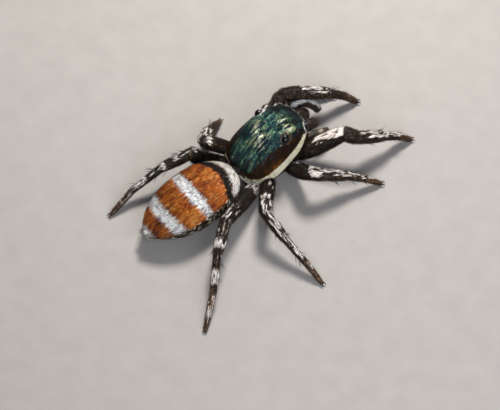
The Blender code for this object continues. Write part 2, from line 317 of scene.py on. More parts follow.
def scatter(shape, density, seed, keep=None):
    """Roots spread evenly by area over a shape: share, angle, point and normal of each.

    The n-th candidate sits at n times two fixed irrational steps, modulo one, and stays with a
    chance in proportion to its area element, which leaves density roots to a square millimetre.
    keep(point, normal, share, angle) can turn more away.
    """
    rng = np.random.default_rng(seed)
    spots = rng.random((2, 4000))
    largest = np.quantile(frame_on(shape, spots[0], 2 * np.pi * spots[1])[2], 0.98)
    number = np.arange(1, int(density * largest * 2 * np.pi) + 1)
    share = (number * GOLDEN_STEPS[0] + rng.random()) % 1.0
    angle = 2 * np.pi * ((number * GOLDEN_STEPS[1] + rng.random()) % 1.0)
    point, normal, area = frame_on(shape, share, angle)
    stay = rng.random(len(number)) * largest < area
    if keep is not None:
        stay &= rng.random(len(number)) < keep(point, normal, share, angle)
    return share[stay], angle[stay], point[stay], normal[stay]


def along_surface(direction, normal):
    """A direction laid down onto the surface."""
    direction = np.broadcast_to(direction, normal.shape)
    flat = direction - normal * np.einsum("ij,ij->i", direction, normal)[:, None]
    return unit(flat)


def turned(direction, normal, angle):
    """A direction in the surface turned about the normal by an angle."""
    side = np.cross(normal, direction)
    return direction * np.cos(angle)[:, None] + side * np.sin(angle)[:, None]


def blades(root, normal, lie, length, width, lift, thickness=0.12):
    """Points of many closed blades, five to each: root, left, ridge, right and tip.

    The tip stands off by the share lift of the length, and the ridge is as high as the share
    thickness of the width.
    """
    length, width, lift = (np.asarray(v, float)[..., None] for v in (length, width, lift))
    side = np.cross(normal, lie)
    middle = root + lie * length * WIDEST + normal * (lift * length * 0.30 + 0.002)
    return np.stack([root - normal * SINK, middle - side * width / 2,
                     middle + normal * width * thickness, middle + side * width / 2,
                     root + lie * length + normal * lift * length], 1)


BLADE_FACES = np.array([(0, 2, 1), (0, 3, 2), (0, 1, 3), (4, 1, 2), (4, 2, 3), (4, 3, 1)])
BLADE_PATCH = np.array([(0.5, 0.0), (0.0, WIDEST), (0.5, 0.5), (1.0, WIDEST), (0.5, 1.0)])
BLADE_TIP = np.array([0.0, 0.45, 0.5, 0.45, 1.0])


def coat_piece(name, points, patch, tone, slot, nodes, material):
    """One mesh of many blades, with its patch map and one tone to a blade."""
    count = len(points)
    faces = (BLADE_FACES[None] + 5 * np.arange(count)[:, None, None]).reshape(-1, 3)
    first = points[0]
    if volume(first - first.mean(0), BLADE_FACES) < 0:
        faces = faces[:, ::-1]
    piece = attach(name, (points.reshape(-1, 3), faces), slot, nodes, material,
                   tone=np.repeat(np.clip(tone, 0, 1), 5), tip=np.tile(BLADE_TIP, count))
    corners = (patch[:, None] + PATCH * (BLADE_PATCH - 0.5)[None]).reshape(-1, 2)[faces.ravel()]
    layer = piece.data.uv_layers.new(name="OFBake")
    layer.data.foreach_set("uv", np.clip(corners, 0, 1).astype(np.float32).ravel())


def unrolled(share, angle):
    """Where a root lies on the plate unrolled flat: around across, along up."""
    return np.stack([0.01 + 0.98 * (angle / (2 * np.pi) % 1.0), 0.01 + 0.98 * share], -1)


def grow(shape, density, seed, keep, lie_of, size, lift, jitter, spread=0.3, wild=0.5, rng=None):
    """A crop of blades over a shape, with what is known of each: root, normal, lie and patch.

    lie_of is a direction, or a function that gives one for each root. Each blade turns from it
    by a random angle of about jitter. Its length and width differ from size by up to the share
    spread, and its lift from lift by about the share wild.
    """
    rng = rng or np.random.default_rng(seed)
    share, angle, root, normal = scatter(shape, density, seed, keep)
    direction = lie_of(root) if callable(lie_of) else lie_of
    lie = turned(along_surface(direction, normal), normal, rng.normal(0, jitter, len(root)))
    length, width = rng.uniform(1 - spread, 1 + spread, (2, len(root)))
    points = blades(root, normal, lie, size[0] * length, size[1] * width,
                    np.abs(rng.normal(lift, lift * wild, len(root))))
    return SimpleNamespace(points=points, patch=unrolled(share, angle), root=root, normal=normal,
                           lie=lie, count=len(root), rng=rng)


def coat(name, slot, nodes, material, tone, *growth, **more_growth):
    """A coat piece of one crop. tone gives the crop's places along the colour stops."""
    crop = grow(*growth, **more_growth)
    coat_piece(name, crop.points, crop.patch, tone(crop), slot, nodes, material)


def gathered(groups):
    """Several groups of (points, patch, tone) as one."""
    return [np.concatenate(column) for column in zip(*groups)]


# %% [markdown]
# ## The trunk's two forms
# Head plate and abdomen are both a ball drawn out along Y: a ring at each share of the length
# has its own half width, top and bottom, and all of them draw in towards the two ends.
# The head plate has blunt ends and steep sides, the abdomen is an egg. The sizes are those of
# the solids, so the plates lie inside them by the depth of the coat.

# %% Trunk shapes
CARAPACE = {
    "rear": -1.36, "front": 0.95, "middle": 0.38,
    "half_widths": (0.78, 0.83, 0.84, 0.81, 0.76, 0.70),
    "tops": (1.03, 1.37, 1.63, 1.70, 1.64, 1.46),
    "bottoms": (0.32, 0.28, 0.28, 0.28, 0.30, 0.34),
    "end_roundness": (4.6, 3.4), "roundness": 2.35,
}
ABDOMEN = {
    "rear": -4.62, "front": -1.46, "middle": 0.60,
    "half_widths": (0.64, 0.83, 0.88, 0.90, 0.92, 0.92),
    "tops": (0.94, 1.10, 1.20, 1.24, 1.22, 1.14),
    "bottoms": (0.28, 0.20, 0.16, 0.14, 0.18, 0.26),
    "end_roundness": (2.2, 2.2), "roundness": 2.1,
}
HEAD_YAW, ABDOMEN_YAW = math.radians(3.0), math.radians(2.0)
STATIONS = np.linspace(0, 1, 6)
CARAPACE_COAT, ABDOMEN_COAT = 0.018, 0.030


def signed_power(values, power):
    """The power of each value's size, with the value's own sign."""
    return np.sign(values) * np.abs(values) ** power


def egg(form, share, angle, inset):
    """A ball drawn out along Y into a trunk part.

    Half width, top and bottom are curves of the fourth degree, fitted to the values at six
    stations. At share s they are drawn in by (1 - |2s - 1| ** e) ** (1 / e), with an e for the
    rear half and one for the front half. A ring is a superellipse, inset millimetres inside.
    """
    share = np.clip(share, 0, 1)
    half_width, top, bottom = (np.polyval(np.polyfit(STATIONS, form[key], 4), share)
                               for key in ("half_widths", "tops", "bottoms"))
    along = 2 * share - 1
    end = np.where(along < 0, *form["end_roundness"])
    draw_in = (1 - np.abs(along) ** end) ** (1 / end)
    across = signed_power(np.cos(angle), 2 / form["roundness"])
    upward = signed_power(np.sin(angle), 2 / form["roundness"])
    height = np.where(upward > 0, top - form["middle"], form["middle"] - bottom)
    reach = (form["front"] - form["rear"]) / 2
    return np.stack([
        across * np.maximum(half_width * draw_in - inset, 0),
        (form["rear"] + form["front"]) / 2 + along * (reach - inset),
        form["middle"] + upward * np.maximum(height * draw_in - inset, 0),
    ], -1)


def yawed(points, angle, pivot):
    """Points turned about an upright axis through (0, pivot)."""
    cos, sin = math.cos(angle), math.sin(angle)
    turn = np.array([[cos, sin, 0], [-sin, cos, 0], [0, 0, 1.0]])
    return (np.asarray(points, float) - [0, pivot, 0]) @ turn + [0, pivot, 0]


def from_head(points):
    """From places on a straight head to the head as the animal holds it, turned a little left."""
    return yawed(points, HEAD_YAW, CARAPACE["rear"])


def to_head(points):
    """The way back: to places on a straight head."""
    return yawed(points, -HEAD_YAW, CARAPACE["rear"])


# Each pair of eyes: across, forward, up, radius and the way its lens looks
EYES = {
    "eye_anterior_median": ((0.210, 0.81, 0.94), 0.185, (0.10, 1.0, 0.05)),
    "eye_anterior_lateral": ((0.472, 0.695, 1.085), 0.110, (0.50, 0.85, 0.18)),
    "eye_posterior_median": ((0.545, 0.34, 1.30), 0.048, (0.85, 0.15, 0.50)),
    "eye_posterior_lateral": ((0.540, -0.08, 1.42), 0.125, (0.80, -0.15, 0.58)),
}


def eye_places():
    """Name, centre, radius and looking direction of each of the eight eyes."""
    for kind, (centre, radius, look) in EYES.items():
        for side_name, side in SIDES:
            flip = np.array([side, 1, 1])
            yield (f"{kind}_{side_name}", from_head(np.array(centre) * flip), radius,
                   yawed(unit(np.array(look) * flip), HEAD_YAW, 0))


# Place of the dip along the head, its half widths and depth
DIP_AT, DIP_WIDTHS, DIP_DEPTH = -0.50, (0.14, 0.12), 0.03
# How high an eye lifts the plate, and how far as a share of its radius
EYE_RISE, EYE_RISE_REACH = 0.030, 1.5


def carapace_shape(share, angle):
    """The head plate: the egg form, raised round each eye, with a dip behind the eyes.

    Each eye lifts the plate around it by a bell curve of its distance. The dip is a bell curve
    too, at the place where the inner muscles pull on the plate.
    """
    points = egg(CARAPACE, share, angle, CARAPACE_COAT)
    dip = np.exp(-((points[..., 0] / DIP_WIDTHS[0]) ** 2)
                 - ((points[..., 1] - DIP_AT) / DIP_WIDTHS[1]) ** 2)
    points[..., 2] -= DIP_DEPTH * dip * (points[..., 2] > CARAPACE["middle"])
    points = from_head(points)
    out = unit(points - [-0.06, -0.05, CARAPACE["middle"] + 0.2])
    for _, place, radius, _ in eye_places():
        distance = np.linalg.norm(points - place, axis=-1)
        bell = np.exp(-((distance / (EYE_RISE_REACH * radius)) ** 2))
        points = points + out * (EYE_RISE * bell)[..., None]
    return points


def abdomen_shape(share, angle):
    """The abdomen: the egg form turned a little about the waist."""
    return yawed(egg(ABDOMEN, share, angle, ABDOMEN_COAT), ABDOMEN_YAW, ABDOMEN["front"])


# %% [markdown]
# ## The head plate
# The real plate is a hard, nearly black shell that shines like polished horn, with a net of
# fine pits. Over its roof lie metallic scales that turn light into blue, teal and green gold,
# a few of them catching the lamp at a time, and more of them painted pale as glints, which are
# painted highlights; towards the face the roof is painted darker, as shade over its own navy.
# Down the flank they give way to bronze hairs, and along the lower edge runs a dense band of
# white scales, painted cream and greyer as shade. The plate itself stays dark, so that the gaps
# between the scales read as depth.

# %% Carapace materials and plate


def plate_material(name, dark, light, roughness=0.32, mark=None, shine=0.45):
    """Chitin: a hard, waxy shell, darker and lighter in clouds, with a net of fine pits.

    It gives the eye a clear highlight with a slightly broken edge. mark is the paler colour of
    the plate where white scales grow, and shine how much of the mirror light it gives back.
    """
    material, tree, shader = new_material(name, Roughness=roughness, Specular_IOR_Level=shine)
    clouds = noise(tree, 0.35, detail=4)
    colour = ramp(tree, clouds, ((0.35, dark), (0.68, light)))
    if mark:
        colour = mixed(tree, attribute(tree, "white"), colour, mark)
    tree.links.new(colour, shader.inputs["Base Color"])
    pits = noise(tree, 0.035, detail=2)
    bump(tree, shader, pits, 0.004, 0.6)
    return material


def scale_material(name, stops, metallic, roughness, painted_root_shade_amount=0.35, shine=0.5):
    """Flat scales: each blade has its own tone along the stops, and painted shade darkens it
    towards its root, where it lies under its neighbours.

    Scales have ridges far finer than a blade, which the roughness stands for.
    """
    material, tree, shader = new_material(name, Metallic=metallic, Roughness=roughness,
                                          Specular_IOR_Level=shine)
    colour = ramp(tree, attribute(tree, "tone"), stops)
    # Painted shade: each blade is mixed towards near black at its root, as if shaded by the blades
    # above it
    painted_root_shade = add(tree, "ShaderNodeMapRange", {"Value": attribute(tree, "tip"), "From Min": 0.0,
                     "From Max": 0.6, "To Min": 1.0, "To Max": 0.0}, clamp=True).outputs[0]
    painted_root_shade_mix = add(tree, "ShaderNodeMath", {0: painted_root_shade, 1: painted_root_shade_amount},
                      operation="MULTIPLY").outputs[0]
    tree.links.new(mixed(tree, painted_root_shade_mix, colour, "#0a0806"), shader.inputs["Base Color"])
    return material


# Nearly black horn, with a clear window of light
BLACK_CHITIN = plate_material("black_chitin", "#0b0c0e", "#1a1714")
# Half metal, from navy through teal to pale gold; the pale gold end is the colour of the painted
# glints, painted highlights on single scales
IRIDESCENT_SCALES = scale_material("iridescent_scales", (
    (0.00, "#05080d"), (0.15, "#122836"), (0.32, "#2f6070"), (0.46, "#41867c"),
    (0.60, "#5ca46e"), (0.74, "#98bf68"), (0.88, "#d4dc94"), (1.00, "#fdfbdc")), 0.55, 0.32)
# Silky brown to amber
BRONZE_HAIRS = scale_material("bronze_hairs", (
    (0.0, "#120a04"), (0.35, "#38200a"), (0.70, "#96560f"), (1.0, "#d8993c")), 0.1, 0.40, 0.3, 0.2)
# White scales painted warm cream and greyer, as shade; matt, with darker scales among it
BAND_SCALES_IN_PAINTED_SHADE = scale_material("band_scales_in_painted_shade", (
    (0.0, "#5f553c"), (0.35, "#cdc297"), (0.7, "#f8f0cf"), (1.0, "#fffdf0")), 0.0, 0.45, 0.05)
# Matt chalk white, with a few dark scales that break it up
WHITE_SCALES = scale_material("white_scales", (
    (0.0, "#2e2a24"), (0.12, "#b0a89a"), (0.35, "#e6e2da"), (0.7, "#f8f7f3"), (1.0, "#ffffff")),
    0.0, 0.45, 0.1)
attach("carapace_plate", form_mesh(carapace_shape, 110, 150), "carapace", ["carapace"],
       BLACK_CHITIN)

# %% [markdown]
# ### Where each kind of scale grows
# A scale's kind depends on where its root lies. The cream band follows the lower edge and
# narrows at both ends. Above it the flank is bronze up to the shoulder, and the roof is
# iridescent. The eyes stay bare. The coat lies backwards and turns down over the flanks.

# %% Carapace coat
# Heights of the borders at places along a straight head: lower edge of the roof's metallic
# scales, and upper and lower edge of the white band
ROOF_AT = (-1.33, -1.15, -0.92, -0.61, -0.30, 0.00, 0.37, 0.73, 0.95)
ROOF_EDGE = (0.72, 0.97, 1.18, 1.32, 1.36, 1.32, 1.27, 1.11, 0.98)
BAND_AT = (-1.36, -1.28, -1.05, -0.76, -0.48, -0.17, 0.06, 0.34, 0.59, 0.80)
BAND_TOP = (0.48, 0.56, 0.64, 0.71, 0.78, 0.85, 0.92, 0.98, 1.03, 1.00)
BAND_BOTTOM = (0.22, 0.26, 0.32, 0.39, 0.46, 0.54, 0.61, 0.70, 0.86, 0.93)
BAND_BORDER = 0.015
LOWEST_BRONZE = 0.32
CLEAR_OF_LENS = 1.12


def away_from_eyes(points):
    """0 on and close to a lens, and 1 elsewhere."""
    clear = np.ones(points.shape[:-1])
    for _, centre, radius, _ in eye_places():
        distance = np.linalg.norm(points - centre, axis=-1)
        clear *= smooth(distance, radius * CLEAR_OF_LENS, radius * CLEAR_OF_LENS + 0.02)
    return clear


def band(points):
    """1 in the white band along the side of the head plate."""
    along, height = to_head(points)[..., 1], points[..., 2]
    return within(height, np.interp(along, BAND_AT, BAND_BOTTOM),
                  np.interp(along, BAND_AT, BAND_TOP), BAND_BORDER)


def roof(points):
    """1 on the roof, where the metallic scales grow."""
    edge = np.interp(to_head(points)[..., 1], ROOF_AT, ROOF_EDGE)
    return smooth(points[..., 2], edge - 0.05, edge + 0.03)


def carapace_back(points):
    """Which way the scales point: backwards, outwards at the sides and down."""
    return np.stack([0.25 * points[:, 0], -np.ones(len(points)), -0.45 * np.ones(len(points))], -1)


def carapace_coat(name, kind, density, seed, material, size, lift, jitter, tone):
    """One kind of scale over the head plate. kind gives the chance of growing at each root.

    It is asked a little behind the root, under the middle of the blade that grows there.
    """

    def chance(points, normal, share, angle):
        middle = points + 0.45 * size[0] * along_surface(carapace_back(points), normal)
        return kind(middle) * away_from_eyes(points)

    coat(name, "carapace", ["carapace"], material, tone, carapace_shape, density, seed, chance,
         carapace_back, size, lift, jitter, spread=0.25, wild=0.6)


# Across and along on a straight head, where the painted glints gather: painted highlights where the
# lamp's light catches the roof
PAINTED_GLINT_PLACES = ((0.33, -0.60), (0.22, -0.50), (0.03, -0.62), (-0.20, -0.35), (0.38, 0.28),
                (0.22, 0.22))


def roof_tone(crop):
    """Blue behind, green in the middle and navy towards the face, in streaks, with painted glints.

    The navy of the face end is its own colour, darkened further as painted shade. A painted glint
    is one scale painted bright as a highlight, and they lie closer together at a few places on the
    roof, where the light catches it.
    """
    across, along = to_head(crop.root)[:, :2].T
    middle = np.exp(-((along + 0.35) / 0.45) ** 2)
    # Painted shade on top of the navy: the roof is painted darker towards the face
    front = smooth(along, 0.10, 0.60)
    streak = patchy(across / 0.050 + 20, along / 0.24 + 20, 5)
    near = np.clip(sum(np.exp(-((across - x) / 0.13) ** 2 - ((along - y) / 0.16) ** 2)
                       for x, y in PAINTED_GLINT_PLACES), 0, 1)
    chance = 0.05 + 0.16 * smooth(streak, 0.5, 0.9) + 0.65 * near * smooth(streak, 0.15, 0.6)
    rng, count = crop.rng, crop.count
    # Painted highlights: single scales painted bright, most of them near the painted glint places
    painted_glint = (rng.random(count) < chance) * (rng.uniform(0.35, 0.65, count) + 0.35 * near)
    return (-0.04 + 0.52 * streak**1.4 + 0.14 * middle - 0.38 * front + painted_glint
            + rng.normal(0, 0.15, count))


def flank_tone(crop):
    """Dark bronze, with an amber glow on the flank just above the band."""
    along, height = crop.root[:, 1:].T
    glow = (smooth(height, 0.60, 0.70) * (1 - smooth(height, 0.75, 1.15))
            * np.exp(-((to_head(crop.root)[:, 1] + 0.45) / 0.45) ** 2))
    streak = patchy(along / 0.05 + 40, height / 0.20 + 20, 9)
    return 0.06 + 0.25 * glow + 0.50 * streak * glow + 0.40 * crop.rng.random(crop.count) ** 3


def band_tone(crop):
    """Cream, a white painted as if in shade, in small lighter and darker patches."""
    patches = patchy(crop.root[:, 1] / 0.12 + 30, crop.root[:, 2] / 0.04, 7)
    return 0.42 + 0.45 * patches + crop.rng.normal(0, 0.22, crop.count)


carapace_coat("carapace_iridescent_scales", lambda p: roof(p) * (1 - band(p)), 7600, 11,
              IRIDESCENT_SCALES, (0.110, 0.017), 0.05, 0.07, roof_tone)
carapace_coat("carapace_bronze_hairs",
              lambda p: 0.8 * (1 - roof(p)) * (1 - band(p)) * (p[..., 2] > LOWEST_BRONZE), 2600, 12,
              BRONZE_HAIRS, (0.11, 0.014), 0.06, 0.2, flank_tone)
carapace_coat("carapace_white_band", band, 5200, 13, BAND_SCALES_IN_PAINTED_SHADE, (0.100, 0.020), 0.06, 0.12,
              band_tone)

# %% [markdown]
# ## The eyes
# Eight lenses of clear cuticle over black cups. Nothing shows inside, so a black glass ball
# with a hard reflection is what the eye sees. A dark ridge frames each lens. Short white scales
# stand round the front eyes and the left rear one, and bronze ones round all behind the front.

# %% Eyes


def basis(look):
    """Two directions at right angles to a looking direction."""
    look = unit(look)
    side = unit(np.cross(look, [0, 0, 1.0] if abs(look[2]) < 0.9 else [0, 1.0, 0]))
    return side, np.cross(side, look)


def lens(centre, radius, look, rings=28, sides=40):
    """A ball whose front is pushed out by a twentieth into a lens."""
    side, up = basis(look)
    polar = np.linspace(0, np.pi, rings)[:, None]
    turn = np.linspace(0, 2 * np.pi, sides, endpoint=False)[None]
    forward = np.cos(polar) * (1 + 0.05 * (np.cos(polar) > 0) * np.cos(polar) ** 2) + 0 * turn
    steps = forward[..., None] * unit(look) + around(turn, side, up, np.sin(polar))
    return outward(*closed_grid(centre + radius * steps))


def ring_mesh(centre, look, radius, thickness, sides=48, section=10):
    """A torus: a circle of radius round the looking direction, as thick as thickness."""
    side, up = basis(look)
    turn = np.linspace(0, 2 * np.pi, sides, endpoint=False)[:, None]
    tilt = np.linspace(0, 2 * np.pi, section, endpoint=False)[None]
    points = (centre + around(turn, side, up) * (radius + thickness * np.cos(tilt))[..., None]
              + (thickness * np.sin(tilt) + 0 * turn)[..., None] * unit(look))
    i, j = np.meshgrid(np.arange(sides), np.arange(section), indexing="ij")
    a, b = i * section + j, (i + 1) % sides * section + j
    c, d = i * section + (j + 1) % section, (i + 1) % sides * section + (j + 1) % section
    return outward(points.reshape(-1, 3), np.vstack([triangles(a, b, d), triangles(a, d, c)]))


# Clear cuticle over a black cup: it gives the eye a small, sharp window of light
EYE_GLASS, _, _ = new_material("eye_lens", Base_Color="#020203", Roughness=0.05, IOR=1.38)

# Shares of an eye's radius: the lens, and how far forward, wide and thick its rim is
LENS_SIZE, RIM_FORWARD, RIM_RADIUS, RIM_THICKNESS = 0.99, 0.25, 0.985, 0.12
rims = []
for name, centre, radius, look in eye_places():
    attach(name + "_lens", lens(centre, radius * LENS_SIZE, look), "eye", [name], EYE_GLASS)
    rims.append(ring_mesh(centre + look * radius * RIM_FORWARD, look, radius * RIM_RADIUS,
                          radius * RIM_THICKNESS))
attach("eye_rims", joined(rims), "carapace", ["carapace"], BLACK_CHITIN)


def eye_scales(name, seed, per_ring, material, kinds, size, tone):
    """Short blades standing around the lenses of some kinds, pointing away from each lens."""
    rng = np.random.default_rng(seed)
    groups = []
    for eye_name, centre, radius, look in eye_places():
        if eye_name.startswith(kinds):
            count = int(per_ring * radius / 0.2)
            out = around(rng.uniform(0, 2 * np.pi, count), *basis(look))
            reach = radius * rng.uniform(1.06, 1.32, count)
            depth = radius * rng.uniform(0.05, 0.35, count)
            root = centre + out * reach[:, None] + look * depth[:, None]
            normal = unit(look + out * 0.5)
            lie = turned(along_surface(out, normal), normal, rng.normal(0, 0.5, count))
            points = blades(root, normal, lie, size[0] * rng.uniform(0.7, 1.3, count), size[1],
                            rng.uniform(0.05, 0.3, count))
            groups.append((points, 0.5 + 0.45 * (root[:, [0, 2]] - [0, 1.0]), tone(rng, count)))
    coat_piece(name, *gathered(groups), "carapace", ["carapace"], material)


FRONT_EYES = ("eye_anterior_median", "eye_anterior_lateral")
REAR_EYES = ("eye_posterior_lateral", "eye_posterior_median")
eye_scales("eye_pale_scales", 21, 170, WHITE_SCALES, FRONT_EYES, (0.070, 0.016),
           lambda rng, n: rng.random(n) * 0.8)
eye_scales("eye_tuft_scales", 23, 240, WHITE_SCALES, "eye_posterior_lateral_left", (0.085, 0.018),
           lambda rng, n: 0.5 + 0.5 * rng.random(n))
eye_scales("eye_bronze_scales", 22, 130, BRONZE_HAIRS, REAR_EYES, (0.055, 0.014),
           lambda rng, n: 0.3 + 0.5 * rng.random(n))

# %% [markdown]
# ## The abdomen
# The abdomen is soft skin under a thick, combed coat. Rust orange scales lie between white
# bands, with a black band behind the white front arc, and white tufts end at the spinnerets.
# The bands are not straight: the front ones curve round the shoulder and the rear ones bow
# the other way. One function gives the place along the bands for any point, and both the skin
# and the coat read their colours from it.

# %% Markings of the abdomen
# Places of the band edges along the back in millimetres, from the front arc to the tip
WHITE_FRONT, BLACK_FRONT = -1.79, -2.05
WHITE_BANDS = ((-2.83, -3.23), (-3.82, -4.17))
TIP_WHITE = -4.47
BAND_BOW_AT = (-4.2, -3.0, -2.0)
BAND_BOW = (-0.35, -0.25, 0.62)
FLANK_AT = (-4.6, -4.3, -3.9, -3.4, -2.6, -2.2, -1.85, -1.65)
FLANK_TOP = (0.60, 0.65, 0.74, 0.83, 0.88, 0.84, 0.66, 0.40)
BORDER = 0.012
FRAY = 0.028


def band_place(points):
    """Place along the bands: the distance along Y, bowed by the square of the distance across."""
    across = points[..., 0] - 0.035 * (ABDOMEN["front"] - points[..., 1])
    bow = np.interp(points[..., 1], BAND_BOW_AT, BAND_BOW)
    return points[..., 1] + bow * across**2


def abdomen_marks(points, fray=0.0):
    """Shares of white, black, flank and edge shade at each point, each from 0 to 1."""
    place = band_place(points) + fray
    white = smooth(place, WHITE_FRONT - BORDER, WHITE_FRONT + BORDER)
    for front, rear in WHITE_BANDS:
        white = np.maximum(white, within(place, rear, front, BORDER))
    white = np.maximum(white, 1 - smooth(place, TIP_WHITE - 0.03, TIP_WHITE + 0.03))
    black = smooth(place, BLACK_FRONT - BORDER, BLACK_FRONT + BORDER) * (1 - white)
    edge = np.interp(points[..., 1], FLANK_AT, FLANK_TOP)
    flank = 1 - smooth(points[..., 2] + 0.7 * fray, edge - 0.05, edge + 0.02)
    edges = np.array([WHITE_FRONT, BLACK_FRONT, *np.ravel(WHITE_BANDS)])
    nearest = np.min(np.abs(place[..., None] - edges), axis=-1)
    return white, black, flank, 1 - smooth(nearest, 0.02, 0.07)


def abdomen_skin_material():
    """Soft skin under the coat, with the coat's colours in a deeper tone.

    It is matt, and only shows as shade between the blades.
    """
    material, tree, shader = new_material("abdomen_skin", Roughness=0.7)
    colour = ramp(tree, noise(tree, 0.12, detail=4), ((0.3, "#7a3208"), (0.7, "#a84f10")))
    colour = mixed(tree, attribute(tree, "black"), colour, "#0e0a08")
    colour = mixed(tree, attribute(tree, "white"), colour, "#e2ddd2")
    colour = mixed(tree, attribute(tree, "flank"), colour, "#2b1f16")
    tree.links.new(colour, shader.inputs["Base Color"])
    bump(tree, shader, noise(tree, 0.05, stretch=(1, 0.25, 1)), 0.008)
    return material


points, faces = form_mesh(abdomen_shape, 150, 150)
marks = dict(zip(("white", "black", "flank"), abdomen_marks(points)))
attach("abdomen_skin", (points, faces), "abdomen", ["abdomen"], abdomen_skin_material(), **marks)

# %% [markdown]
# ### The combed coat
# Each kind of blade is a piece of its own, so that its finish can be set by itself. A blade
# grows only where its colour belongs, and the border is frayed by a small random push along
# the body, as in real fur, where one hair crosses the line and the next doesn't.

# %% Abdomen coat
# Deep rust to pale gold, combed and silky
RUST_SCALES = scale_material("rust_scales", (
    (0.0, "#3a1406"), (0.22, "#8e3a06"), (0.50, "#c9600a"), (0.75, "#e0841c"), (1.0, "#f0bf6c")),
    0.0, 0.50, 0.2)
# Black with a brown gleam at some tips
BLACK_HAIRS = scale_material("black_hairs", (
    (0.0, "#070605"), (0.6, "#16110d"), (0.9, "#33261a"), (1.0, "#5e4a2e")), 0.0, 0.38, 0.3, 0.25)
# Dark, with pale flecks like pepper and salt
FLANK_HAIRS = scale_material("flank_hairs", (
    (0.0, "#0d0906"), (0.45, "#2a1d12"), (0.70, "#7c6038"), (0.85, "#cbb47c"), (1.0, "#f7f1de")),
    0.0, 0.45, 0.3, 0.2)


def abdomen_back(points):
    """Backwards along the body, turning down the flanks and in towards the tip."""
    inward = -0.35 * points[:, 0] * smooth(-points[:, 1], 3.6, 4.6)
    return np.stack([inward, -np.ones(len(points)), -0.20 * np.ones(len(points))], -1)


def streaks(points, seed, across=0.065, along=0.50):
    """Streaks of the combed coat: patches much longer than wide, from 0 to 1."""
    girth = points[:, 0] + 0.8 * points[:, 2] * np.sign(points[:, 0])
    return patchy(girth / across + 40, points[:, 1] / along + 40, seed)


def abdomen_coat(name, kind, density, seed, material, size, lift, jitter, tone):
    """One kind of blade over the abdomen. kind turns the four shares into a chance.

    The shares are asked under the middle of the blade, and neighbours are frayed together.
    """
    rng = np.random.default_rng(seed)

    def chance(points, normal, share, angle):
        middle = points + 0.5 * size[0] * along_surface(abdomen_back(points), normal)
        push = 2.2 * (streaks(points, 70, 0.05, 9.0) - 0.5) + rng.normal(0, 0.5, len(points))
        return kind(*abdomen_marks(middle, FRAY * push))

    coat(name, "abdomen", ["abdomen"], material, tone, abdomen_shape, density, seed, chance,
         abdomen_back, size, lift, jitter, wild=0.6, rng=rng)


def rust_tone(crop):
    """Bright and dark in streaks, deeper at the band edges and redder towards the tip.

    One blade in twelve is dark and one in seventeen pale gold, as flecks.
    """
    fleck = crop.rng.random(crop.count)
    edge = abdomen_marks(crop.root + 0.5 * RUST_SIZE[0] * crop.lie)[3]
    return (0.18 + 0.60 * streaks(crop.root, 71) + crop.rng.normal(0, 0.21, crop.count)
            - 0.20 * edge - 0.10 * smooth(-crop.root[:, 1], 3.3, 4.4)
            - 0.45 * (fleck < 0.08) + 0.50 * (fleck > 0.94))


def white_tone(crop):
    """Greyer on the front arc, as painted shade where the lamps fall strongest, and painted
    brighter to pure white further back, where the bands face away from them. One blade in fourteen
    is dark.
    """
    # Painted shade and light: the tone rises from the front arc to the rear bands
    return (0.18 + 0.25 * streaks(crop.root, 72) + 0.65 * smooth(-crop.root[:, 1], 2.1, 3.0)
            + crop.rng.normal(0, 0.12, crop.count) - 0.7 * (crop.rng.random(crop.count) < 0.07))


def flank_hair_tone(crop):
    """Dark in streaks, with one hair in eight pale."""
    return (0.04 + 0.28 * streaks(crop.root, 73, 0.05, 0.2)
            + 0.80 * (crop.rng.random(crop.count) < 0.12))


RUST_SIZE = (0.24, 0.016)
abdomen_coat("abdomen_rust_scales", lambda w, b, f, e: (1 - w) * (1 - b) * (1 - f), 4200, 31,
             RUST_SCALES, RUST_SIZE, 0.035, 0.035, rust_tone)
abdomen_coat("abdomen_white_scales", lambda w, b, f, e: w * (1 - f), 3600, 32,
             WHITE_SCALES, (0.18, 0.018), 0.035, 0.04, white_tone)
abdomen_coat("abdomen_black_hairs",
             lambda w, b, f, e: np.clip(b + 0.12 * e * (1 - w) + 0.05 * w, 0, 1) * (1 - f),
             4600, 33, BLACK_HAIRS, (0.15, 0.020), 0.09, 0.14,
             lambda crop: crop.rng.random(crop.count) ** 3)
abdomen_coat("abdomen_flank_hairs", lambda w, b, f, e: f, 2600, 34,
             FLANK_HAIRS, (0.14, 0.022), 0.12, 0.24, flank_hair_tone)

# %% [markdown]
# ## Tubes along a path
# Palps, jaws, claws, spinnerets and the waist are all tubes of changing thickness. A smooth
# curve runs through a few points, and rings stand square to it. One fixed direction, laid into
# each ring, keeps the rings from twisting.

# %% Tube helper


def spline(path, share):
    """A Catmull-Rom curve through the points of a path, at shares from 0 to 1."""
    padded = np.vstack([2 * path[0] - path[1], path, 2 * path[-1] - path[-2]])
    place = np.clip(share, 0, 1) * (len(path) - 1)
    index = np.minimum(place.astype(int), len(path) - 2)
    t = (place - index)[..., None]
    a, b, c, d = (padded[index + k] for k in range(4))
    return 0.5 * (2 * b + (c - a) * t + (2 * a - 5 * b + 4 * c - d) * t**2
                  + (3 * b - a - 3 * c + d) * t**3)


def tube_shape(path, radii, reference=(0.0, 0.0, 1.0)):
    """A shape function for a round tube along a path, drawn in to a rounded end at both ends."""
    path = np.asarray(path, float)
    curve = np.polyfit(np.linspace(0, 1, len(radii)), radii, min(3, len(radii) - 1))
    length = np.linalg.norm(np.diff(path, axis=0), axis=1).sum()

    def shape(share, angle):
        low, high = np.maximum(share - 1e-3, 0), np.minimum(share + 1e-3, 1)
        ahead = unit(spline(path, high) - spline(path, low))
        radius = np.polyval(curve, share)
        cap = np.clip(np.minimum(share, 1 - share) * length / np.maximum(radius, 1e-6), 0, 1)
        radius = radius * np.sqrt(1 - (1 - cap) ** 4.0)
        side = unit(np.cross(ahead, reference))
        return spline(path, share) + around(angle, side, np.cross(side, ahead), radius)

    return shape


def mirrored(path, side):
    """A path of the right side as it is on either side."""
    return np.asarray(path, float) * np.array([side, 1, 1])
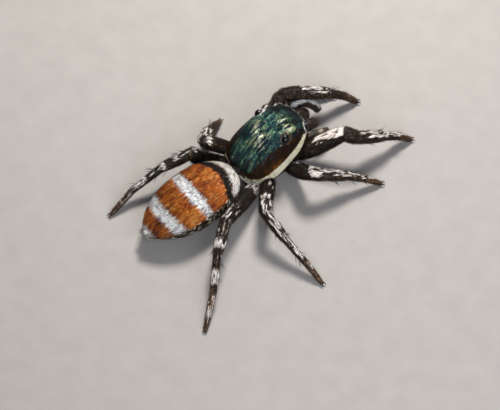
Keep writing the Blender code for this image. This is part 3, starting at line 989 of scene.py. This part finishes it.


# %% [markdown]
# ## Jaws and palps
# The jaws are two stout, upright cylinders of chestnut chitin with sparse pale hairs, and each
# ends in a small folded fang. The left palp reaches round the front of the jaws and is thick with
# white hairs along its upper side. The right one hangs beside the jaws, and its white is painted
# down to a little grey as shade, so that it is nearly all brown.

# %% Jaws, fangs and palps
CHELICERA_PATH = ((0.20, 0.66, 0.54), (0.205, 0.98, 0.55), (0.212, 1.24, 0.47), (0.212, 1.40, 0.32))
FANG_PATH = ((0.21, 1.46, 0.27), (0.18, 1.43, 0.16), (0.12, 1.29, 0.10))
PALP_PATHS = {
    "left": ((-0.30, 0.78, 0.26), (-0.46, 1.00, 0.32), (-0.55, 1.22, 0.45), (-0.47, 1.48, 0.51),
             (-0.25, 1.64, 0.46), (-0.04, 1.69, 0.37)),
    "right": ((0.30, 0.78, 0.26), (0.47, 0.91, 0.34), (0.58, 1.04, 0.48), (0.62, 1.20, 0.46),
              (0.59, 1.36, 0.32), (0.50, 1.47, 0.17)),
}
# How high on the palp its white begins, from 0 at the side to 1 on top, and how white it gets.
# The right palp's white is set higher and weaker, as painted shade.
PALP_WHITE_AND_SHADE = {"left": (0.60, 1.0), "right": (0.85, 0.45)}
# Chestnut so dark that it is brown only in full light
BROWN_CHITIN = plate_material("brown_chitin", "#0d0704", "#200f07", 0.30, None, 0.35)
# Smoother and redder, for a hard point of light on a claw
HORN = plate_material("fang_horn", "#1a0a05", "#3c1608", 0.2)
# Brown to white, where the tone says how pale
PALE_HAIRS = scale_material("pale_hairs", (
    (0.0, "#1d130b"), (0.35, "#5a4630"), (0.7, "#ddd5c4"), (1.0, "#ffffff")), 0.0, 0.45, 0.1)


def palp_tone(side_name, side, crop):
    """White on top and brown below. Each palp has its own height for the change, and the right
    one's white is weakened as painted shade.
    """
    upper = crop.normal @ unit([0.20 * side, 0.10, 0.97])
    low, most = PALP_WHITE_AND_SHADE[side_name]
    return 0.02 + most * smooth(upper, low, low + 0.15) + crop.rng.normal(0, 0.10, crop.count)


for side_name, side in SIDES:
    jaw = tube_shape(from_head(mirrored(CHELICERA_PATH, side)), (0.170, 0.175, 0.160, 0.100))
    fang = tube_shape(from_head(mirrored(FANG_PATH, side)), (0.045, 0.034, 0.010), (1.0, 0.0, 0.0))
    palp = tube_shape(from_head(PALP_PATHS[side_name]), (0.078, 0.088, 0.108, 0.112, 0.103, 0.08))
    nodes = [f"chelicera_{side_name}"]
    attach(f"chelicera_plate_{side_name}", form_mesh(jaw, 50, 48), "mouthpart", nodes, BROWN_CHITIN)
    attach(f"fang_horn_{side_name}", form_mesh(fang, 30, 20), "claw", [f"fang_{side_name}"], HORN)
    coat(f"chelicera_hairs_{side_name}", "mouthpart", nodes, PALE_HAIRS,
         lambda crop: 0.22 * crop.rng.random(crop.count) ** 2, jaw, 500, 41,
         lambda p, n, s, a: n[..., 1] > -0.2, (0.0, 1.0, -0.8), (0.09, 0.011), 0.18, 0.3)
    nodes = [f"palp_{side_name}"]
    attach(f"palp_skin_{side_name}", form_mesh(palp, 80, 40), "palp", nodes, BROWN_CHITIN)
    coat(f"palp_hairs_{side_name}", "palp", nodes, PALE_HAIRS, partial(palp_tone, side_name, side),
         palp, 5200, 42, None, unit((-0.35 * side, 1.0, -0.2)), (0.10, 0.017), 0.14, 0.25)

# %% [markdown]
# ## The legs
# Each leg is six straight tubes with rounded ends that run into each other at the joints, as
# the real plates do: coxa, femur, patella, tibia, metatarsus and tarsus. The places of the
# joints are those of the solids. A femur swells in the middle and a tarsus tapers. The plates
# are nearly black, and that of the foot is brown.

# %% Leg sizes and pose
LEG_THICKNESS = {1: 0.47, 2: 0.41, 3: 0.39, 4: 0.41}
LEG_PIECE_SHARES = ((0.86, 0.88, 0.80), (0.74, 1.00, 0.82), (0.80, 0.88, 0.76),
                    (0.70, 0.76, 0.60), (0.54, 0.50, 0.44), (0.42, 0.40, 0.26))
COXA_ROOTS = {1: (0.30, 0.37, 0.27), 2: (0.30, -0.09, 0.27), 3: (0.30, -0.68, 0.27),
              4: (0.28, -1.14, 0.27)}
TROCHANTERS = {1: (0.64, 0.48, 0.36), 2: (0.76, -0.06, 0.30), 3: (0.72, -0.82, 0.31),
               4: (0.62, -1.22, 0.28)}
DRAWN_BACK = {"leg_3_left": (0.72, -0.97, 0.31), "leg_4_left": (0.50, -1.38, 0.28)}
FOOT_HEIGHT = 0.062
JOINT_REACH = 0.42

# Where each leg bends: knee, end of patella, end of tibia, end of metatarsus, and foot
LEG_POSE = {
    "leg_1_right": ((1.12, 1.49, 1.00), (1.43, 1.72, 0.92), (1.67, 2.44, 0.60), (1.80, 2.91, 0.31),
        (1.97, 3.20)),
    "leg_2_right": ((1.50, -0.07, 0.92), (1.73, 0.24, 0.82), (2.03, 0.85, 0.55),
        (2.33, 1.32, 0.29), (2.58, 1.64)),
    "leg_3_right": ((1.42, -1.48, 0.78), (1.74, -1.76, 0.88), (2.58, -1.76, 0.60),
        (3.42, -1.68, 0.31), (4.06, -1.64)),
    "leg_4_right": ((1.08, -2.30, 0.66), (1.26, -2.78, 0.84), (1.90, -3.56, 0.74),
        (2.62, -4.27, 0.40), (3.26, -5.05)),
    "leg_1_left": ((-0.98, 0.96, 0.86), (-0.70, 1.40, 0.94), (-0.36, 2.12, 0.66),
        (-0.14, 2.56, 0.34), (0.06, 2.82)),
    "leg_2_left": ((-1.02, 0.26, 0.27), (-1.17, 0.64, 0.22), (-1.02, 1.58, 0.29),
        (-0.72, 2.08, 0.18), (-0.48, 2.40)),
    "leg_3_left": ((-1.02, -1.62, 0.94), (-1.26, -1.55, 0.71), (-1.56, -1.11, 0.38),
        (-1.68, -0.84, 0.22), (-1.78, -0.58)),
    "leg_4_left": ((-1.10, -1.90, 0.27), (-1.08, -2.08, 0.78), (-1.26, -3.02, 0.70),
        (-1.35, -3.94, 0.38), (-1.26, -4.78)),
}


def leg_joints(name, pair, side):
    """The seven joints from the root of the leg to its foot, as the solids have them."""
    roots = COXA_ROOTS[pair], DRAWN_BACK.get(name, TROCHANTERS[pair])
    bends = LEG_POSE[name][:-1], (*LEG_POSE[name][-1], FOOT_HEIGHT)
    return [*(mirrored(root, side) for root in roots), *np.array(bends[0]), np.array(bends[1])]


def leg_piece_shape(start, end, thickness, shares):
    """A straight round piece between two joints, and its direction.

    Its radius is the parabola through the three shares at start, middle and end. Both ends run
    a little past the joint and close as the quarter of a superellipse.
    """
    radii = np.array(shares) * thickness / 2
    ahead = unit(end - start)
    first, last = start - ahead * radii[0] * JOINT_REACH, end + ahead * radii[2] * JOINT_REACH
    length = np.linalg.norm(last - first)
    side = unit(np.cross(ahead, [0, 0, 1.0]))
    up = np.cross(side, ahead)
    parabola = np.polyfit([0, 0.5, 1], radii, 2)

    def shape(share, angle):
        cap = np.clip(np.minimum(share, 1 - share) * length / (0.8 * radii[1]), 0, 1)
        radius = np.polyval(parabola, share) * (1 - (1 - cap) ** 2.6) ** (1 / 2.6)
        return first + (last - first) * share[..., None] + around(angle, side, up, radius)

    return shape, ahead


# %% [markdown]
# ### What grows on a leg
# A leg is dark brown with dark hairs, and along its upper side lie flecks of white scales. The
# upper side is tilted towards the lamp, so that the white also stands in for light: the lit side
# is painted whiter and the shaded side darker. The flecks stand in short rows with dark gaps
# between, and gather into white rings and patches at places that differ from leg to leg, some of
# them pink. Each leg has its own list of white stretches, read off the animal. A few thin spines
# stand on the tibia and metatarsus.

# %% Leg materials and marks
# Nearly black and satin, paler where white scales grow
LEG_CHITIN = plate_material("leg_chitin", "#080604", "#150f09", 0.45, "#544a42", 0.25)
# The same plate in brown, for the thin foot
FOOT_CHITIN = plate_material("foot_chitin", "#3a2617", "#5e3f26", 0.40, "#857869")
# White, greyed by pinkish and brown scales
LEG_SCALES = scale_material("leg_scales", (
    (0.0, "#33241b"), (0.2, "#80615a"), (0.4, "#b59b92"), (0.6, "#cfc8be"), (1.0, "#f6f4ef")),
    0.0, 0.42, 0.15)
# Black to brown, with a rare tan one
LEG_HAIRS = scale_material("leg_hairs", (
    (0.0, "#080604"), (0.5, "#18110a"), (0.8, "#3a281a"), (1.0, "#8a7052")), 0.0, 0.46, 0.2, 0.2)

# White stretches: piece number, start and end as shares of that piece, how densely covered, and
# how far down the sides they reach, from 0 for a line along the top to 1 for a whole ring
WHITE_STRETCHES = {
    "leg_1_right": ((1, 0.38, 0.98, 0.8, 0.36), (3, 0.1, 0.4, 0.42, 0.22), (3, 0.4, 1, 0.55, 0.24),
        (4, 0.05, 0.9, 0.55, 0.3), (5, 0.1, 0.6, 0.4, 0.3)),
    "leg_2_right": ((1, 0.2, 0.6, 0.16, 0.4), (2, 0.05, 0.7, 0.56, 0.4), (3, 0, 1, 0.5, 0.2),
        (4, 0, 0.8, 0.46, 0.22), (5, 0.1, 0.45, 0.3, 0.3)),
    "leg_3_right": ((1, 0.05, 0.6, 0.16, 0.4), (1, 0.84, 1, 0.6, 0.4), (2, 0.05, 0.95, 0.36, 0.32),
        (3, 0, 1, 0.5, 0.36), (4, 0, 0.8, 0.48, 0.36), (5, 0.05, 0.35, 0.3, 0.4)),
    "leg_4_right": ((0, 0.3, 1, 0.75, 0.6), (1, 0, 0.24, 0.7, 0.6), (1, 0.88, 1, 0.34, 0.4),
        (2, 0.1, 0.9, 0.3, 0.22), (3, 0.05, 0.45, 0.32, 0.25), (3, 0.55, 0.75, 0.75, 0.6),
        (4, 0.05, 0.25, 0.3, 0.5), (4, 0.42, 0.78, 0.56, 0.5), (5, 0.15, 0.75, 0.4, 0.4)),
    "leg_1_left": ((1, 0.1, 0.9, 0.16, 0.4), (3, 0.05, 0.85, 0.55, 0.16), (4, 0.1, 0.3, 0.3, 0.4)),
    "leg_2_left": ((1, 0.85, 1, 0.4, 0.3), (2, 0.2, 0.9, 0.4, 0.3), (3, 0.1, 0.8, 0.4, 0.3)),
    "leg_3_left": ((1, 0.86, 1, 0.6, 0.7), (2, 0.3, 0.85, 0.7, 0.8), (3, 0.1, 0.65, 0.45, 0.5)),
    "leg_4_left": ((2, 0.55, 1, 0.36, 0.12), (3, 0.1, 0.62, 0.36, 0.12), (3, 0.82, 1, 0.8, 0.6),
        (4, 0.1, 0.4, 0.32, 0.25), (4, 0.52, 0.92, 0.6, 0.4), (5, 0.1, 0.6, 0.3, 0.3)),
}
# The top of a leg, tilted forward towards the key lamp: white grows on the upper side, as on the
# real legs, and as painted light on the lit side and painted shade on the other
LEG_TOP_TOWARD_LAMP = unit([0.0, 0.38, 1.0])


def leg_white(name, number, share, angle, normal, length):
    """Chance of white scales on a leg piece: in a stretch, high enough round it towards the lamp,
    as painted light, and in a fleck.
    """
    chance = np.zeros(share.shape)
    fleck = patchy(angle * 4.6 + 7 * number, share * length / 0.15 + 5, 80 + number)
    place = share + 0.16 * (fleck - 0.5)
    for piece, start, end, density, reach in WHITE_STRETCHES[name]:
        if piece == number:
            low = 0.88 - 1.15 * reach
            # Painted light and shade: white favours the side of the leg turned towards the lamp
            high_and_lit = smooth(normal @ LEG_TOP_TOWARD_LAMP + 0.3 * (fleck - 0.5), low, low + 0.15)
            covered = smooth(fleck, 0.86 - density, 1.20 - density)
            chance = np.maximum(chance, within(place, start, end, 0.04) * high_and_lit * covered)
    return chance


# %% [markdown]
# ### Growing the legs
# Every leg comes from one function: six plates, two claws at the foot, then the white scales and
# the dark hairs. A piece is white just where the scales are, so the plate never shows through.

# %% Build the legs
LEG_RINGS = (40, 36)
LEG_DENSITY = 2600
SPINES = 7
CLAW_LENGTH, CLAW_SPREAD = 0.14, 0.040


def claw_meshes(foot, ahead):
    """Two small hooks that leave the foot forwards and bend down to the floor."""
    forward = unit(ahead * [1, 1, 0])
    across = np.cross(forward, [0, 0, 1.0])
    for side in (across * CLAW_SPREAD, -across * CLAW_SPREAD):
        path = (foot + side * 0.4, foot + side + forward * CLAW_LENGTH * 0.5 + [0, 0, 0.025],
                foot + side * 1.2 + forward * CLAW_LENGTH - [0, 0, 0.030])
        yield form_mesh(tube_shape(path, (0.020, 0.018, 0.006)), 14, 10)


def spines(shape, ahead, rng, count, size):
    """Long thin spines that lean towards the foot: their points and patches."""
    share, angle = rng.uniform(0.12, 0.88, count), rng.uniform(0, 2 * np.pi, count)
    point, normal, _ = frame_on(shape, share, angle)
    lean = unit(along_surface(ahead, normal) + 0.15 * rng.normal(size=(count, 3)))
    length = size[0] * rng.uniform(0.8, 1.2, count)
    return blades(point, normal, along_surface(lean, normal), length, size[1],
                  rng.uniform(0.5, 0.9, count), thickness=0.9), unrolled(share, angle)


def build_leg(name, pair, side, seed):
    """The plates, claws, white scales, hairs and spines of one leg."""
    rng = np.random.default_rng(seed)
    joints = leg_joints(name, pair, side)
    plates, marks, white, hair = [], [], [], []
    for number, shares in enumerate(LEG_PIECE_SHARES):
        start, end = joints[number : number + 2]
        shape, ahead = leg_piece_shape(start, end, LEG_THICKNESS[pair], shares)
        length = np.linalg.norm(end - start)

        def is_white(point, normal, share, angle):
            return leg_white(name, number, share, angle, normal, length)

        def is_hairy(*place):
            return 0.6 * (1 - is_white(*place))

        plates.append(form_mesh(shape, *LEG_RINGS))
        marks.append(form_values(lambda s, a: is_white(None, frame_on(shape, s, a)[1], s, a),
                                 *LEG_RINGS))
        fine = 0.6 + 0.4 * shares[1]
        crop = grow(shape, 1.6 * LEG_DENSITY, seed * 10 + number, is_white, ahead,
                    (0.13 * fine, 0.016 * fine), 0.12, 0.12)
        pink = patchy(crop.patch[:, 0] * 9 + number, crop.patch[:, 1] * 6, 90 + pair) > 0.72
        tone = (0.95 - 0.75 * crop.rng.random(crop.count) ** 3
                - 0.45 * pink * crop.rng.random(crop.count))
        white.append((crop.points, crop.patch, tone))
        crop = grow(shape, LEG_DENSITY, seed * 10 + number + 500, is_hairy, ahead,
                    (0.11 * fine, 0.015), 0.20, 0.2)
        tone = (0.15 + 0.6 * crop.rng.random(crop.count) ** 2
                + 0.5 * crop.rng.random(crop.count) ** 10 + 0.05 * number)
        hair.append((crop.points, crop.patch, tone))
        if number in (3, 4):
            hair.append((*spines(shape, ahead, rng, SPINES, (0.20, 0.020)), np.full(SPINES, 0.25)))
    attach(f"{name}_plates", joined(plates[:5]), "leg", [name], LEG_CHITIN,
           white=np.concatenate(marks[:5]))
    attach(f"{name}_tarsus", plates[5], "leg", [name], FOOT_CHITIN, white=marks[5])
    claws = joined(list(claw_meshes(joints[-1], joints[-1] - joints[-2])))
    attach(f"{name}_claws", claws, "claw", [name], HORN)
    coat_piece(f"{name}_white_scales", *gathered(white), "leg", [name], LEG_SCALES)
    coat_piece(f"{name}_hairs", *gathered(hair), "leg", [name], LEG_HAIRS)


for pair in sorted(LEG_THICKNESS):
    for side_name, side in SIDES:
        build_leg(f"leg_{pair}_{side_name}", pair, side, 100 * pair + int(side > 0))

# %% [markdown]
# ## Underside, waist and spinnerets
# Seen from the side or below, the head plate closes over a flat shield between the coxae, a
# short waist joins the two halves, and two pairs of spinnerets end the abdomen.

# %% Underside
WAIST_RADIUS, WAIST_HEIGHT = 0.14, 0.53
# Dull black, so that the waist sinks into shade
WAIST_SKIN = plate_material("waist_skin", "#0b0907", "#17110c", 0.75)
SPINNERETS = {
    "spinneret_front": ((0.11, -4.24, 0.40), (0.13, -4.56, 0.26), 0.085, 0.055),
    "spinneret_rear": ((0.10, -4.36, 0.54), (0.12, -4.64, 0.45), 0.070, 0.042),
}


def sternum_shape(share, angle):
    """A flattened ball, a little pointed behind."""
    along = 2 * share - 1
    ring = np.sqrt(1 - along**2) * (1 + 0.12 * along)
    steps = np.stack([ring * np.cos(angle), along, ring * np.sin(angle)], -1)
    return steps * STERNUM_HALF_SIZES + STERNUM_CENTRE


def furred(name, ending, node, skin, hairs, brightest, grid, shape, *growth):
    """A plate or skin of the underside, and its hairs of random tones up to the brightest.

    growth is what grow wants after the shape.
    """
    attach(f"{name}_{ending}", form_mesh(shape, *grid), "underside", [node], skin)
    coat(f"{name}_hairs", "underside", [node], hairs,
         lambda crop: crop.rng.random(crop.count) * brightest, shape, *growth)


furred("sternum", "plate", "sternum", BROWN_CHITIN, PALE_HAIRS, 0.8, (40, 48), sternum_shape,
       900, 61, lambda p, n, s, a: n[..., 2] < 0, (0.0, -1.0, 0.0), (0.10, 0.012), 0.2, 0.4)
waist_path = [(0.0, y, WAIST_HEIGHT)
              for y in (CARAPACE["rear"] + 0.35, -1.42, ABDOMEN["front"] - 0.35)]
furred("waist", "skin", "pedicel", WAIST_SKIN, BLACK_HAIRS, 1.0, (30, 32),
       tube_shape(waist_path, (WAIST_RADIUS,) * 3), 900, 63, None, (0.0, -1.0, 0.0),
       (0.09, 0.012), 0.3, 0.5)
for part, (root, tip, thick, thin) in SPINNERETS.items():
    for side_name, side in SIDES:
        path = mirrored((root, (np.array(root) + tip) / 2, tip), side)
        node = f"{part}_{side_name}"
        furred(node, "skin", node, BROWN_CHITIN, PALE_HAIRS, 1.0, (26, 24),
               tube_shape(path, (thick, (thick + thin) / 2, thin)), 3000, 62, None,
               unit(np.array(tip) - root), (0.08, 0.012), 0.2, 0.3)

# %% [markdown]
# ## Floor, light and lens
# The portrait is taken with a long lens from above the right hip, on a plain pale floor. One
# lamp stands beyond the animal, as the sun does in the photograph. A second, broader and weaker
# one fills from the camera's side, and a pale sky closes the shadows.

# %% Camera
VIEW_AZIMUTH, VIEW_ELEVATION = math.radians(51.5), math.radians(58.0)
PICTURE = (500, 410)
PIXELS_PER_MM = 36.0
ORIGIN_PIXEL = (275.6, 154.1)
CAMERA_DISTANCE = 160.0
SENSOR = 36.0

back = np.array([math.sin(VIEW_AZIMUTH) * math.cos(VIEW_ELEVATION),
                 -math.cos(VIEW_AZIMUTH) * math.cos(VIEW_ELEVATION), math.sin(VIEW_ELEVATION)])
right = np.array([math.cos(VIEW_AZIMUTH), math.sin(VIEW_AZIMUTH), 0.0])
up = np.cross(back, right)
aim = (right * (PICTURE[0] / 2 - ORIGIN_PIXEL[0])
       - up * (PICTURE[1] / 2 - ORIGIN_PIXEL[1])) / PIXELS_PER_MM
camera_data = bpy.data.cameras.new("camera")
camera = bpy.data.objects.new("camera", camera_data)
bpy.context.scene.collection.objects.link(camera)
camera.location = placed(aim + back * CAMERA_DISTANCE)
camera.rotation_euler = Vector(-back).to_track_quat("-Z", "Y").to_euler()
camera_data.sensor_width = SENSOR
camera_data.lens = SENSOR * CAMERA_DISTANCE / (PICTURE[0] / PIXELS_PER_MM)
camera_data.clip_start, camera_data.clip_end = 0.001, 10.0
bpy.context.scene.camera = camera
print("lens in mm:", round(camera_data.lens, 1),
      "camera at mm:", np.round(np.array(camera.location) * 1000, 1))

# %% [markdown]
# ### The studio
# The floor is matt, so that only soft shadows lie on it. Both lamps are large for a spider.

# %% Floor and lights
FLOOR_HALF = 60.0
LAMP_TARGET = (0, -0.8, 0.4)


def floor_material():
    """Pale matt plaster, with a grain so fine that it only softens the light."""
    material, tree, shader = new_material("pale_floor", Roughness=0.85)
    colour = ramp(tree, noise(tree, 0.6, detail=5), ((0.3, "#827f7c"), (0.7, "#878481")))
    tree.links.new(colour, shader.inputs["Base Color"])
    bump(tree, shader, noise(tree, 0.12, detail=4), 0.006, 0.5)
    return material


corners = FLOOR_HALF * np.array([(-1, -1, 0), (1, -1, 0), (1, 1, 0), (-1, 1, 0)], float)
floor = mesh_object("floor", corners, [(0, 1, 2), (0, 2, 3)], smooth=False)
floor.data.materials.append(floor_material())


def lamp(name, place, size, power, colour):
    """A soft square lamp at a place in millimetres, turned to the animal."""
    data = bpy.data.lights.new(name, "AREA")
    data.size = size * MM
    data.energy = power
    data.color = linear(colour)[:3]
    light = bpy.data.objects.new(name, data)
    bpy.context.scene.collection.objects.link(light)
    light.location = placed(place)
    aim_at = Vector(placed(LAMP_TARGET)) - light.location
    light.rotation_euler = aim_at.to_track_quat("-Z", "Y").to_euler()


lamp("key_lamp", (-14.0, 16.0, 30.0), 9.0, 0.030, "#fffaf4")
lamp("fill_lamp", (26.0, -10.0, 22.0), 30.0, 0.014, "#f6f8ff")
world = bpy.data.worlds.new("sky")
world.use_nodes = True
world.node_tree.nodes["Background"].inputs["Color"].default_value = linear("#e9edf2")
world.node_tree.nodes["Background"].inputs["Strength"].default_value = 0.22
bpy.context.scene.world = world
bpy.context.scene.view_settings.view_transform = "Standard"
